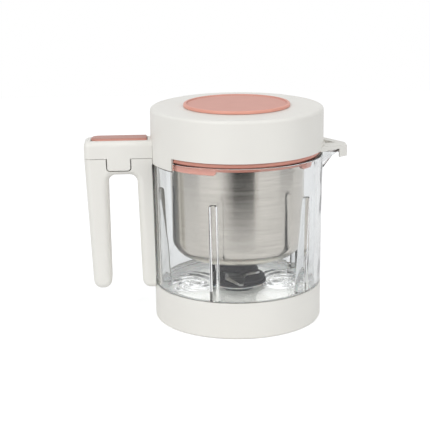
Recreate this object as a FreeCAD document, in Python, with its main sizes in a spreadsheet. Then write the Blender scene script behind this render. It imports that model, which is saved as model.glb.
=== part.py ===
import FreeCAD, Part
import math
import operator
import os
import types

import Sketcher

# Jug of a baby food maker. Millimetres, +Z up, origin on the bowl's axis in the plane it stands on.
# The handle points along -X and the pouring spout along +X.

SIZES = [
    # fits
    ("seat_gap", 0.3, "free space round seated pieces"),
    ("press_gap", 0.02, "radial gap of a pressed or threaded fit"),
    ("run_gap", 0.05, "radial gap of a running fit"),
    # glass bowl
    ("glass_low_r", 66.3, "outer radius of the glass at the collar"),
    ("glass_flare", 1.4, "how much wider the glass is at the rim"),
    ("rim_z", 133.6, "rim of the glass"),
    ("glass_wall", 4.3, "wall of the glass"),
    ("rim_round", 1.2, "rounding of the rim"),
    ("floor_drop", 6.8, "underside of the glass floor below the collar's top"),
    ("floor_thick", 5, "glass floor"),
    ("floor_round", 2.5, "inner rounding between floor and wall"),
    ("foot_step", 3.2, "how far the glass foot stands back from the wall"),
    ("foot_wide", 9.2, "width of the glass foot"),
    ("hole_gap", 0.8, "free space round the blade carrier in the floor"),
    ("rib_count", 5, "ribs inside the glass"),
    ("rib_half", 3.2, "half width of a rib"),
    ("rib_turn", -2.6, "angle that the ribs are turned by from the handle's plane"),
    ("rib_depth", 8.8, "how far a rib stands in at the floor"),
    ("rib_top_depth", 3.6, "how far it stands in at its top"),
    ("rib_end", 28, "top of a rib below the rim"),
    ("rib_round", 2.4, "rounding of a rib's top"),
    ("recess_deep", 2.2, "recess in the glass behind the lid's skirt"),
    ("recess_tall", 6.6, "height of that recess"),
    ("recess_angle", 80, "angle that it covers"),
    ("spout_reach", 15, "how far the glass spout stands out at the rim"),
    ("spout_tall", 17.5, "height of the spout"),
    ("spout_half", 10, "half width of the spout at the rim"),
    ("spout_bend_drop", 5, "where the spout turns outwards, below the rim"),
    ("spout_bend_reach", 7.9, "how far it stands out there"),
    ("spout_bend_half", 7, "half width of the spout there"),
    ("spout_foot_half", 2.4, "half width of the spout where it begins"),
    ("spout_wall", 3.4, "wall of the spout"),
    # base collar
    ("base_rise", 29, "height of the collar, where the glass begins"),
    ("collar_step", 0.2, "how far the collar stands out from the glass"),
    ("collar_wall", 5.2, "wall of the collar above the bayonet lip"),
    ("base_edge", 2, "rounding of the collar's lower edge"),
    ("lip_reach", 3.4, "how far the bayonet lip reaches in"),
    ("lip_rise", 4, "height of the bayonet lip"),
    ("web_deep", 10.5, "how deep the web that carries the glass lies in the collar"),
    ("web_thick", 2.2, "web of the collar"),
    ("entry_wide", 14, "width of a bayonet entry"),
    ("entry_count", 3, "bayonet entries"),
    ("web_rib_count", 12, "stiffening ribs under the web"),
    ("web_rib_thick", 1.6, "thickness of such a rib"),
    ("web_rib_drop", 4, "how far it hangs below the web"),
    ("web_rib_gap", 5, "free space between the ribs and the carrier nut"),
    ("gasket_thick", 1, "silicone between glass foot and web"),
    # blade carrier and its bearings
    ("shaft_r", 4, "radius of the shaft in its bushes"),
    ("shaft_step", 0.5, "how much thinner its two ends are"),
    ("bush_wall", 2.5, "wall of the bushes"),
    ("lower_bush_long", 5, "length of the lower bush"),
    ("bush_gap", 1, "space between the two bushes"),
    ("lip_seal_wide", 2.5, "how much wider the shaft seal is than the bushes"),
    ("lip_seal_deep", 4.6, "depth of the shaft seal's seat"),
    ("stem_wall", 4.2, "wall of the carrier's stem round the shaft seal"),
    ("flange_reach", 9.8, "how far the carrier's flange reaches past the stem"),
    ("flange_thick", 1.6, "thickness of the flange"),
    ("seal_thick", 0.8, "gasket under the flange"),
    ("nut_reach", 6.8, "how far the carrier nut's corners reach past the stem"),
    ("nut_tall", 3, "height of the carrier nut"),
    # rotor
    ("hub_gap", 0.5, "running gap between flange and hub"),
    ("hub_step", 1, "how far the hub's skirt stands back from the flange"),
    ("hub_skirt_tall", 4.8, "height of the hub's skirt"),
    ("blade_thick", 1.5, "thickness of a blade"),
    ("blade_r", 35, "reach of the blades"),
    ("blade_disc_r", 12, "centre disc of a blade"),
    ("blade_rise", 4.5, "how far the upper blade's tips bend up"),
    ("blade_drop", 1.5, "how far the lower blade's tips bend down"),
    ("blade_turn", 28, "angle between the two blades"),
    ("hub_r", 15, "radius of the hub's cap"),
    ("hub_tall", 10.5, "height of the hub's cap"),
    ("hub_roof", 3.2, "hub's cap above the end of the shaft"),
    ("washer_thick", 0.8, "room for the thrust washer"),
    ("coupling_r", 13, "radius of the drive coupling"),
    ("coupling_tall", 8, "height of the coupling"),
    ("socket_r", 6, "drive socket in the coupling"),
    ("socket_deep", 4.8, "depth of the socket"),
    ("shaft_inset", 0.1, "end of the shaft above the socket"),
    ("drive_slot", 2.4, "width of a drive slot"),
    ("drive_slot_count", 3, "drive slots"),
    # basket
    ("basket_gap", 3, "free space between hub and basket"),
    ("basket_taper", 1.2, "how much narrower the basket is at its floor"),
    ("turned_rim", 4, "width of the basket's turned rim"),
    ("turned_rim_drop", 1.6, "underside of the turned rim below the glass rim"),
    ("basket_round", 15, "rounding of the basket's floor"),
    ("sheet_thick", 0.8, "steel sheet"),
    ("hole_r", 2.2, "holes in the basket's floor"),
    ("hole_pitch", 10, "distance between the rings of holes"),
    ("ring_gap", 1.2, "free space between the plastic ring and the glass"),
    ("ring_body", 5, "plastic round the turned rim"),
    ("ring_clear", 0.8, "free space between the ring and the basket's wall"),
    ("ring_drop", 3.2, "lower edge of the ring below the glass rim"),
    ("tab_drop", 6.2, "lower edge of its deep tabs below the glass rim"),
    ("ring_rise", 3.2, "top of the ring above the glass rim"),
    ("ring_inset", 2.3, "ring's flange inside the outer edge of the glass"),
    ("tab_thick", 2.4, "thickness of a deep tab"),
    ("tab_angle", 143, "deep tab on the handle side"),
    ("side_tab_angle", 12.4, "deep tab on each side of the spout"),
    ("side_tab_turn", 37.7, "how far it is turned from the spout"),
    ("tab_round", 2.6, "rounding of a tab's lower corners"),
    # lid
    ("lid_overhang", 0.3, "how far the lid stands out from the glass"),
    ("lid_gap", 0.6, "open joint between ring and lid"),
    ("lid_tall", 32.4, "height of the lid"),
    ("lid_wall", 2.2, "wall of the lid"),
    ("lid_round", 2.6, "rounding of the lid's upper edge"),
    ("cap_hole_r", 37.3, "filler opening in the lid"),
    ("skirt_drop", 9.7, "how far the skirt hangs down at the handle"),
    ("skirt_angle", 77.8, "angle that the skirt covers"),
    ("plate_drop", 1.2, "underside of the spout plate below the lid's lower edge"),
    ("plate_thick", 3.9, "spout plate at the lid"),
    ("plate_tip_thick", 1.4, "spout plate at its end"),
    ("plate_reach", 18.6, "how far the spout plate stands out"),
    ("plate_half", 7, "half width of its end"),
    ("plate_spread", 21, "angle where the plate leaves the lid"),
    ("plate_lip_drop", 6.7, "how far the lip at its end hangs down"),
    ("plate_lip_long", 7, "length of that lip"),
    ("plate_lip_wall", 2, "wall of that lip"),
    ("steam_reach", 9, "length of the steam opening in the plate"),
    ("steam_half", 8, "half width of the steam opening"),
    ("liner_rise", 2.2, "underside of the liner above the lid's lower edge"),
    ("liner_thick", 2.5, "liner plate"),
    ("neck_wall", 2.1, "wall of the filler neck"),
    ("plug_drop", 5.4, "how far the liner's collar hangs into the basket"),
    ("plug_gap", 0.6, "free space between that collar and the basket"),
    ("lid_seal_inset", 3, "lid seal from the bore of the basket's ring"),
    ("screw_r", 1.2, "shank of a screw"),
    ("screw_head_r", 2.3, "head of a screw"),
    ("screw_head", 1.7, "height of a screw head"),
    ("boss_r", 3.6, "screw boss"),
    # filler cap
    ("disc_lap", 4.5, "how far the cap's disc laps over the lid"),
    ("disc_thick", 2.3, "thickness of the disc"),
    ("disc_dish", 0.9, "depth of the dish inside the rim"),
    ("disc_rim", 2.4, "width of the disc's rim"),
    ("disc_edge", 1.1, "rounding of the disc's upper edge"),
    ("cap_deep", 27.1, "depth of the cap's plug"),
    ("cap_wall", 2, "wall of the plug"),
    ("cap_gap", 0.4, "free space round the plug"),
    ("cap_seal_half", 1, "half height of the cap seal"),
    ("cap_seal_rise", 8, "middle of the cap seal above the plug's bottom"),
    # arm and latch
    ("arm_reach", 52, "how far the arm stands out from the lid"),
    ("arm_half", 13, "half width of arm and handle"),
    ("arm_drop", 1.7, "underside of the arm below the glass rim"),
    ("arm_tall", 13.5, "height of the arm"),
    ("arm_skin", 2.2, "wall of the arm"),
    ("arm_round", 4.5, "rounding of the arm's outer corners"),
    ("arm_edge", 4.2, "rounding of the arm's upper edge"),
    ("tongue_start", 16.1, "tongues from the lid"),
    ("tongue_long", 18, "length of the tongues along the arm"),
    ("tongue_drop", 9.5, "how far the tongues hang below the arm"),
    ("tongue_thick", 3.6, "thickness of a tongue"),
    ("tongue_gap", 0.8, "open joint round a tongue"),
    ("tongue_round", 2.2, "rounding of a tongue"),
    ("button_inset", 5.8, "outer end of the button from the arm's end"),
    ("button_start", 0.6, "inner end of the button from the arm's cavity"),
    ("button_margin", 5.5, "arm beside the button"),
    ("button_sink", 0.6, "underside of the button's pad below the arm's top"),
    ("button_stand", 1.6, "how far the button stands above the arm"),
    ("button_gap", 0.4, "free space round the button"),
    ("button_edge", 1.2, "rounding of the button's upper edge"),
    ("button_round", 6.5, "rounding of the button's corners"),
    ("plunger_thick", 2.2, "flange of the plunger"),
    ("cover_inset", 0.2, "how far the arm's cover lies inside the arm"),
    ("cover_thick", 1.8, "arm cover"),
    ("spring_far_inset", 4.5, "outer spring from the button's outer end"),
    ("spring_near_inset", 6.3, "inner spring from the arm's cavity"),
    ("spring_r", 3.2, "mean radius of a spring"),
    ("wire_r", 0.45, "spring wire"),
    ("clip_thick", 0.8, "latch clip"),
    ("clip_half", 4, "half width of the clip"),
    ("clip_start", 8.6, "clip's leg from the tongues' inner side"),
    ("clip_long", 11.2, "clip's strip along the cover"),
    ("clip_drop", 5.5, "how far the clip hangs below the arm"),
    ("nose_reach", 3, "how far the nose reaches under the catch"),
    ("rivet_inset", 3, "rivets from the clip's end"),
    ("rivet_y", 2.4, "half the distance between the rivets"),
    # handle
    ("bridge_thick", 13.2, "handle above the finger gap"),
    ("leg_drop", 3, "ends of the legs below the collar's top"),
    ("leg_lean", 4.6, "how far the outer leg leans in"),
    ("grip_top", 18.5, "thickness of the outer leg, above"),
    ("grip_low", 14.4, "thickness of the outer leg, below"),
    ("root_top", 11.4, "thickness of the inner leg, above"),
    ("root_low", 10.2, "thickness of the inner leg, below"),
    ("gap_round", 6, "rounding of the finger gap's corners"),
    ("leg_round", 6.6, "rounding of the legs' ends"),
    ("handle_edge", 5.5, "rounding of the handle's long edges"),
    ("pad_thick", 0.9, "bond pad between handle and glass"),
    ("pad_half", 8, "half width of the pad"),
    ("pad_start", 6.6, "lower end of the pad above the legs' ends"),
    ("pad_stop", 10, "upper end of the pad below the glass rim"),
    ("catch_deep", 2.1, "how deep the catch plate lies in the handle"),
    ("catch_start", 9.2, "inner end of the catch plate from the clip's leg"),
    ("catch_long", 20, "length of the catch plate"),
    ("catch_half", 6.4, "half width of the catch plate"),
    ("catch_thick", 1.6, "catch plate"),
    ("catch_window", 4, "window in the catch plate"),
    ("pocket_gap", 2.5, "free space under the clip in the handle"),
]


class Size:
    """A number together with the spreadsheet formula that it comes from."""

    def __init__(self, value, formula):
        self.value = value
        self.formula = formula

    def __add__(self, other):
        return combine(self, "+", other)

    def __radd__(self, other):
        return combine(other, "+", self)

    def __sub__(self, other):
        return combine(self, "-", other)

    def __rsub__(self, other):
        return combine(other, "-", self)

    def __mul__(self, other):
        return combine(self, "*", other)

    def __rmul__(self, other):
        return combine(other, "*", self)

    def __truediv__(self, other):
        return combine(self, "/", other)

    def __neg__(self):
        return combine(0, "-", self)


OPERATIONS = {"+": operator.add, "-": operator.sub, "*": operator.mul, "/": operator.truediv}


def as_size(number):
    if isinstance(number, Size):
        return number
    return Size(number, str(number))


def combine(left, sign, right):
    left = as_size(left)
    right = as_size(right)
    value = OPERATIONS[sign](left.value, right.value)
    return Size(value, f"({left.formula} {sign} {right.formula})")


def polar(radius, degrees):
    """The point at a radius and an angle round Z, as two sizes."""
    degrees = as_size(degrees)
    turn = math.radians(degrees.value)
    across = Size(math.cos(turn), f"cos({degrees.formula})")
    along = Size(math.sin(turn), f"sin({degrees.formula})")
    return radius * across, radius * along


doc = FreeCAD.newDocument("jug")
sheet = doc.addObject("Spreadsheet::Sheet", "dims")
for row, (alias, number, meaning) in enumerate(SIZES, 1):
    sheet.set(f"A{row}", meaning)
    sheet.set(f"B{row}", str(number))
    sheet.setAlias(f"B{row}", alias)
doc.recompute()
d = types.SimpleNamespace(**{alias: Size(number, "dims." + alias) for alias, number, meaning in SIZES})
nodes = []

# Radii and reaches that follow, from the glass inwards and outwards.
d.glass_top_r = d.glass_low_r + d.glass_flare
d.recess_r = d.glass_top_r - d.recess_deep
d.spout_tip = d.glass_top_r + d.spout_reach
d.spout_bend = d.glass_top_r + d.spout_bend_reach
d.foot_r = d.glass_low_r - d.foot_step
d.foot_in_r = d.foot_r - d.foot_wide
d.base_r = d.glass_low_r + d.collar_step
d.chamber_r = d.base_r - d.collar_wall
d.lip_r = d.chamber_r - d.lip_reach
d.shaft_end_r = d.shaft_r - d.shaft_step
d.bush_r = d.shaft_r + d.bush_wall
d.lip_seal_r = d.bush_r + d.lip_seal_wide
d.stem_r = d.lip_seal_r + d.stem_wall
d.carrier_r = d.stem_r + d.flange_reach
d.glass_hole_r = d.stem_r + d.hole_gap
d.nut_r = d.stem_r + d.nut_reach
d.web_rib_r = d.nut_r + d.web_rib_gap
d.skirt_hub_r = d.carrier_r - d.hub_step
d.ring_skirt_r = d.glass_top_r - d.glass_wall - d.ring_gap
d.ring_flange_r = d.glass_top_r - d.ring_inset
d.basket_rim_r = d.ring_skirt_r - d.ring_body
d.basket_top_r = d.basket_rim_r - d.turned_rim
d.basket_low_r = d.basket_top_r - d.basket_taper
d.ring_in_r = d.basket_top_r + d.ring_clear
d.lid_r = d.glass_top_r + d.lid_overhang
d.plate_tip = d.lid_r + d.plate_reach
d.plug_r = d.basket_top_r - d.sheet_thick - d.plug_gap
d.lid_seal_in_r = d.ring_in_r + d.lid_seal_inset
d.screw_circle = d.plug_r + d.screw_head_r + d.seat_gap
d.disc_r = d.cap_hole_r + d.disc_lap
d.arm_end = d.lid_r + d.arm_reach
d.arm_root = d.lid_r + d.arm_skin
d.tongue_near = d.lid_r + d.tongue_start
d.tongue_far = d.tongue_near + d.tongue_long
d.button_far = d.arm_end - d.button_inset
d.button_near = d.arm_root + d.button_start
d.button_half = d.arm_half - d.button_margin
d.spring_far = d.button_far - d.spring_far_inset
d.spring_near = d.arm_root + d.spring_near_inset
d.clip_leg = d.tongue_near + d.clip_start
d.clip_near = d.clip_leg - d.clip_long
d.rivet_x = d.clip_near + d.rivet_inset
d.catch_near = d.clip_leg - d.catch_start
d.catch_far = d.catch_near + d.catch_long
d.leg_far_low = d.arm_end - d.leg_lean
d.gap_far_top = d.arm_end - d.grip_top
d.gap_far_low = d.leg_far_low - d.grip_low
d.gap_near_top = d.glass_top_r + d.root_top
d.gap_near_low = d.glass_low_r + d.root_low

# Heights that follow, from the collar's top downwards and upwards, then from the rim of the glass.
d.web_high = d.base_rise - d.web_deep
d.web_low = d.web_high - d.web_thick
d.floor_low = d.base_rise - d.floor_drop
d.floor_high = d.floor_low + d.floor_thick
d.carrier_top = d.floor_high + d.seal_thick + d.flange_thick
d.lip_seal_low = d.carrier_top - d.lip_seal_deep
d.stem_low = d.web_low - d.nut_tall
d.bush_split = d.stem_low + d.lower_bush_long
d.coupling_top = d.stem_low - d.washer_thick
d.coupling_low = d.coupling_top - d.coupling_tall
d.shaft_low = d.coupling_low + d.socket_deep + d.shaft_inset
d.skirt_hub_low = d.carrier_top + d.hub_gap
d.blade_low = d.skirt_hub_low + d.hub_skirt_tall
d.hub_top = d.blade_low + d.blade_thick * 2 + d.hub_tall
d.shaft_top = d.hub_top - d.hub_roof
d.basket_low = d.hub_top + d.basket_gap
d.handle_low = d.base_rise - d.leg_drop
d.pad_low = d.handle_low + d.pad_start
d.pad_high = d.rim_z - d.pad_stop
d.rib_top = d.rim_z - d.rib_end
d.recess_z = d.rim_z - d.recess_tall
d.spout_low = d.rim_z - d.spout_tall
d.spout_bend_z = d.rim_z - d.spout_bend_drop
d.basket_rim_z = d.rim_z - d.turned_rim_drop
d.ring_low = d.rim_z - d.ring_drop
d.ring_deep = d.rim_z - d.tab_drop
d.ring_top = d.rim_z + d.ring_rise
d.lid_low = d.ring_top + d.lid_gap
d.lid_top = d.lid_low + d.lid_tall
d.skirt_low = d.lid_low - d.skirt_drop
d.plate_low = d.lid_low - d.plate_drop
d.plate_lip_low = d.plate_low - d.plate_lip_drop
d.liner_low = d.lid_low + d.liner_rise
d.plug_low = d.liner_low - d.plug_drop
d.disc_low = d.lid_top + d.seat_gap
d.disc_top = d.disc_low + d.disc_thick
d.cap_low = d.disc_low - d.cap_deep
d.cap_seal_z = d.cap_low + d.cap_seal_rise
d.arm_low = d.rim_z - d.arm_drop
d.arm_top = d.arm_low + d.arm_tall
d.tongue_low = d.arm_low - d.tongue_drop
d.button_low = d.arm_top - d.button_sink
d.button_top = d.arm_top + d.button_stand
d.plunger_low = d.arm_top - d.arm_skin - d.seat_gap - d.plunger_thick
d.cover_low = d.arm_low + d.cover_inset
d.clip_low = d.arm_low - d.clip_drop
d.handle_top = d.arm_low - d.seat_gap
d.gap_top = d.handle_top - d.bridge_thick
d.pocket_low = d.clip_low - d.pocket_gap
d.catch_low = d.handle_top - d.catch_deep
d.nose_top = d.catch_low - d.seat_gap


def bind(item, settings):
    """Sets properties; a Size becomes a formula on the spreadsheet."""
    for name, value in settings.items():
        if isinstance(value, Size):
            item.setExpression(name, value.formula)
        else:
            setattr(item, name, value)


def new_body(label):
    body = doc.addObject("PartDesign::Body", label)
    body.Label = label
    nodes.append(body)
    return body


def origin_of(body, role):
    return next(item for item in body.Origin.OriginFeatures if item.Role == role)


def sketch(body, role, height=0):
    """A sketch on one of the body's own planes, moved along the plane's normal."""
    flat = body.newObject("Sketcher::SketchObject", body.Label + "_sketch")
    flat.AttachmentSupport = [(origin_of(body, role), "")]
    flat.MapMode = "FlatFace"
    flat.setExpression("AttachmentOffset.Base.z", as_size(height).formula)
    return flat


def dimension(flat, sizes):
    """Adds dimensions to a sketch; each is a size, a kind of constraint and what it measures."""
    sizes = [(as_size(size), kind, where) for size, kind, where in sizes]
    first = flat.ConstraintCount
    flat.addConstraint([Sketcher.Constraint(kind, *where, size.value) for size, kind, where in sizes])
    for k, (size, kind, where) in enumerate(sizes):
        flat.setExpression(f"Constraints[{first + k}]", size.formula)


def pin(geometry, point, at):
    """The two dimensions that hold a point of a sketch from the sketch's origin."""
    return [
        (at[0], "DistanceX", (-1, 1, geometry, point)),
        (at[1], "DistanceY", (-1, 1, geometry, point))]


def vector(at):
    return FreeCAD.Vector(as_size(at[0]).value, as_size(at[1]).value, 0)


def chain(flat, first, count):
    """Joins each line or arc of a closed outline to the next."""
    flat.addConstraint([
        Sketcher.Constraint("Coincident", first + k, 2, first + (k + 1) % count, 1) for k in range(count)])


def loop(flat, points):
    """A closed outline of straight lines with every corner held."""
    first = flat.GeometryCount
    count = len(points)
    flat.addGeometry([
        Part.LineSegment(vector(points[k]), vector(points[(k + 1) % count])) for k in range(count)])
    chain(flat, first, count)
    dimension(flat, [held for k in range(count) for held in pin(first + k, 1, points[k])])


def circle(flat, centre, radius):
    index = flat.addGeometry(Part.Circle(vector(centre), FreeCAD.Vector(0, 0, 1), radius.value))
    dimension(flat, pin(index, 3, centre) + [(radius, "Radius", (index,))])


def box_points(x_low, x_high, y_low, y_high):
    return [(x_low, y_low), (x_high, y_low), (x_high, y_high), (x_low, y_high)]


def feature(body, kind, settings):
    item = body.newObject("PartDesign::" + kind, f"{body.Label}_{kind}")
    bind(item, settings)
    doc.recompute()
    return item


def lathe(body, points, kind="Revolution", angle=None):
    """Turns an outline of (radius, height) points round Z, all the way or over an angle about its plane."""
    flat = sketch(body, "XZ_Plane")
    loop(flat, points)
    settings = {"Profile": flat, "ReferenceAxis": (flat, ["V_Axis"]), "Angle": 360}
    if angle is not None:
        settings.update({"Angle": angle, "Midplane": True})
    return feature(body, kind, settings)


def upright(body, points, low, rise, kind="Pad"):
    """Raises an outline of (x, y) points from a height, or cuts it away."""
    top = low if kind == "Pad" else low + rise
    flat = sketch(body, "XY_Plane", top)
    loop(flat, points)
    return feature(body, kind, {"Profile": flat, "Length": as_size(rise)})


def sideways(body, points, width, kind="Pad"):
    """Extends an outline of (x, z) points to both sides of the middle plane."""
    flat = sketch(body, "XZ_Plane")
    loop(flat, points)
    return feature(body, kind, {"Profile": flat, "Length": as_size(width), "SideType": "Symmetric"})


def drill(body, centres, radius, top, depth):
    flat = sketch(body, "XY_Plane", top)
    for centre in centres:
        circle(flat, centre, radius)
    return feature(body, "Pocket", {"Profile": flat, "Length": as_size(depth)})


def loft(body, sections, kind="AdditiveLoft"):
    return feature(body, kind, {"Profile": sections[0], "Sections": sections[1:], "Ruled": True})


def around(body, original, count):
    """Repeats a feature evenly round Z."""
    settings = {"Originals": [original], "Axis": (origin_of(body, "Z_Axis"), [""]), "Angle": 360}
    item = body.newObject("PartDesign::PolarPattern", body.Label + "_pattern")
    bind(item, settings)
    bind(item, {"Occurrences": as_size(count)})
    body.Tip = item
    doc.recompute()


def round_edges(body, radius, chosen):
    """Rounds the edges of the body so far that the test picks."""
    base = body.Tip
    names = [f"Edge{k}" for k, edge in enumerate(base.Shape.Edges, 1) if chosen(edge)]
    if not names:
        raise ValueError("no edge to round on " + body.Label)
    feature(body, "Fillet", {"Base": (base, names), "Radius": radius})


def near(left, right):
    return abs(as_size(left).value - as_size(right).value) < 0.01


def rim_at(radius, height):
    """Picks the circular edges round Z at a radius and a height."""

    def chosen(edge):
        curve = edge.Curve
        return isinstance(curve, Part.Circle) and near(curve.Radius, radius) and near(curve.Center.z, height)

    return chosen


def edge_at(**sizes):
    """Picks the edges that lie wholly at the given x, y or z."""

    def chosen(edge):
        box = edge.BoundBox
        spans = {"x": (box.XMin, box.XMax), "y": (box.YMin, box.YMax), "z": (box.ZMin, box.ZMax)}
        return all(near(spans[axis][0], size) and near(spans[axis][1], size) for axis, size in sizes.items())

    return chosen


def either(*tests):
    return lambda edge: any(test(edge) for test in tests)


def cylinder(name, radius, low, high, at=(0, 0)):
    item = doc.addObject("Part::Cylinder", name)
    bind(item, {
        "Radius": as_size(radius), "Height": as_size(high) - low, "Placement.Base.x": as_size(at[0]),
        "Placement.Base.y": as_size(at[1]), "Placement.Base.z": as_size(low)})
    return item


def cut(label, base, tool):
    item = doc.addObject("Part::Cut", label)
    item.Label = label
    item.Base = base
    item.Tool = tool
    return item


def sleeve(label, inner, outer, low, high, at=(0, 0)):
    body = cylinder(label + "_body", outer, low, high, at)
    hole = cylinder(label + "_hole", inner, low - 1, high + 1, at)
    return cut(label, body, hole)


def ring(label, inner, outer, low, high):
    nodes.append(sleeve(label, inner, outer, low, high))


def fasteners(label, places, head_low, head_high, shank_low, shank_high):
    """Equal screws or rivets as one node: a head and a shank at each place."""
    items = []
    for at in places:
        item = doc.addObject("Part::Fuse", label + "_one")
        item.Base = cylinder(label + "_head", d.screw_head_r, head_low, head_high, at)
        item.Tool = cylinder(label + "_shank", d.screw_r, shank_low, shank_high, at)
        items.append(item)
    whole = doc.addObject("Part::Compound", label)
    whole.Label = label
    whole.Links = items
    nodes.append(whole)


def glass_r(height):
    """Outer radius of the glass at a height."""
    share = (height - d.base_rise) / (d.rim_z - d.base_rise)
    return d.glass_low_r + (d.glass_top_r - d.glass_low_r) * share


# The white collar: a turned shell with a bayonet lip below and a ribbed web that carries the glass.
collar = new_body("base_collar")
seat_r = d.foot_r + d.seat_gap
web_hole_r = d.stem_r + d.seat_gap
lathe(collar, [
    (d.lip_r, 0), (d.base_r, 0), (d.base_r, d.base_rise), (seat_r, d.base_rise), (seat_r, d.web_high),
    (web_hole_r, d.web_high), (web_hole_r, d.web_low), (d.chamber_r, d.web_low),
    (d.chamber_r, d.lip_rise), (d.lip_r, d.lip_rise)])
round_edges(collar, d.base_edge, rim_at(d.base_r, 0))
entry = box_points(d.lip_r - 2, d.chamber_r, -d.entry_wide / 2, d.entry_wide / 2)
around(collar, upright(collar, entry, -1, d.lip_rise + 1, "Pocket"), d.entry_count)
web_rib = box_points(d.web_rib_r, d.chamber_r + 1, d.web_low - d.web_rib_drop, d.web_low + 1)
around(collar, sideways(collar, web_rib, d.web_rib_thick), d.web_rib_count)

# The silicone ring that the glass foot stands on.
foot_z = d.web_high + d.gasket_thick
ring("base_gasket", d.foot_in_r + d.seat_gap, d.foot_r - d.seat_gap, d.web_high, foot_z)

# The glass: turned outside and inside, leaning ribs, lofted spout with its pouring channel.
glass = new_body("glass_bowl")
lathe(glass, [
    (d.glass_hole_r, d.floor_low), (d.foot_in_r, d.floor_low), (d.foot_in_r, foot_z), (d.foot_r, foot_z),
    (d.foot_r, d.base_rise), (d.glass_low_r, d.base_rise), (d.glass_top_r, d.rim_z),
    (d.glass_hole_r, d.rim_z)])
round_edges(glass, d.rim_round, rim_at(d.glass_top_r, d.rim_z))


def bullet(height, back, nose, half):
    """A section with straight flanks that end in a half circle towards +X."""
    flat = sketch(glass, "XY_Plane", height)
    centre = nose - half
    low_back = vector((back, -half))
    high_back = vector((back, half))
    low_front = vector((centre, -half))
    high_front = vector((centre, half))
    bow = Part.Circle(vector((centre, 0)), FreeCAD.Vector(0, 0, 1), half.value)
    flat.addGeometry([
        Part.LineSegment(low_back, low_front), Part.ArcOfCircle(bow, -math.pi / 2, math.pi / 2),
        Part.LineSegment(high_front, high_back), Part.LineSegment(high_back, low_back)])
    chain(flat, 0, 4)
    dimension(flat, [
        *pin(0, 1, (back, -half)), *pin(2, 2, (back, half)), *pin(1, 3, (centre, 0)),
        (half, "Radius", (1,)), (centre, "DistanceX", (-1, 1, 1, 1)), (centre, "DistanceX", (-1, 1, 1, 2))])
    return flat


inner_low_r = d.glass_low_r - d.glass_wall
inner_top_r = d.glass_top_r - d.glass_wall
lathe(glass, [
    (0, d.floor_high), (inner_low_r, d.floor_high), (inner_top_r, d.rim_z - d.rim_round),
    (inner_top_r + d.rim_round, d.rim_z), (inner_top_r + d.rim_round, d.rim_z + 1), (0, d.rim_z + 1)], "Groove")
round_edges(glass, d.floor_round, rim_at(inner_low_r, d.floor_high))
rib_low = d.floor_high - 2
rib_foot_x = d.rib_depth - inner_low_r
rib_rise = d.rib_top - rib_low
rib_lean = d.rib_top_depth + d.glass_wall - glass_r(d.rib_top) - rib_foot_x
rib_plane = glass.newObject("PartDesign::Plane", "rib_plane")
rib_plane.AttachmentSupport = [(origin_of(glass, "XY_Plane"), "")]
rib_plane.MapMode = "FlatFace"
bind(rib_plane, {"AttachmentOffset.Rotation.Angle": d.rib_turn})
rib_section = bullet(0, -d.rib_depth - d.glass_wall / 5, 0, d.rib_half)
rib_section.AttachmentSupport = [(rib_plane, "")]
lean = Size(math.degrees(math.atan2(rib_lean.value, rib_rise.value)), f"atan({(rib_lean / rib_rise).formula})")
rib_section.AttachmentOffset = FreeCAD.Placement(
    FreeCAD.Vector(), FreeCAD.Rotation(FreeCAD.Vector(0, 1, 0), lean.value))
bind(rib_section, {
    "AttachmentOffset.Base.x": rib_foot_x, "AttachmentOffset.Base.z": rib_low,
    "AttachmentOffset.Rotation.Angle": lean})
rib = feature(glass, "Pad", {"Profile": rib_section, "Length": rib_rise})
around(glass, rib, d.rib_count)


def rib_crest(edge):
    curve = edge.Curve
    high = edge.BoundBox.ZMin > d.rib_top.value - d.rib_half.value
    return high and isinstance(curve, Part.Circle) and near(curve.Radius, d.rib_half)


round_edges(glass, d.rib_round, rib_crest)
lathe(glass, [
    (d.glass_low_r, d.base_rise), (d.glass_low_r * 2, d.base_rise),
    (d.glass_low_r * 2, d.rim_z), (d.glass_top_r, d.rim_z)], "Groove")
spout_back = inner_top_r + 0.4
spout_start = glass_r(d.spout_low) - 1
spout_foot = bullet(d.spout_low, spout_back, spout_start, d.spout_foot_half)
spout_middle = bullet(d.spout_bend_z, spout_back, d.spout_bend, d.spout_bend_half)
loft(glass, [spout_foot, spout_middle, bullet(d.rim_z, spout_back, d.spout_tip, d.spout_half)])
channel_back = spout_back - 12
channel_low = d.spout_low + d.spout_wall
channel_start = glass_r(channel_low) - d.glass_wall - 0.6
channel_foot = bullet(channel_low, channel_back, channel_start, d.spout_foot_half * 0.6)
channel_bend_half = d.spout_bend_half - d.spout_wall
channel_middle = bullet(d.spout_bend_z, channel_back, d.spout_bend - d.spout_wall, channel_bend_half)
channel_mouth = bullet(d.rim_z, channel_back, d.spout_tip - d.spout_wall, d.spout_half - d.spout_wall)
loft(glass, [channel_foot, channel_middle, channel_mouth], "SubtractiveLoft")
lathe(glass, [
    (-d.recess_r, d.recess_z), (-d.glass_top_r - 2, d.recess_z),
    (-d.glass_top_r - 2, d.rim_z + 1), (-d.recess_r, d.rim_z + 1)], "Groove", d.recess_angle)

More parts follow.
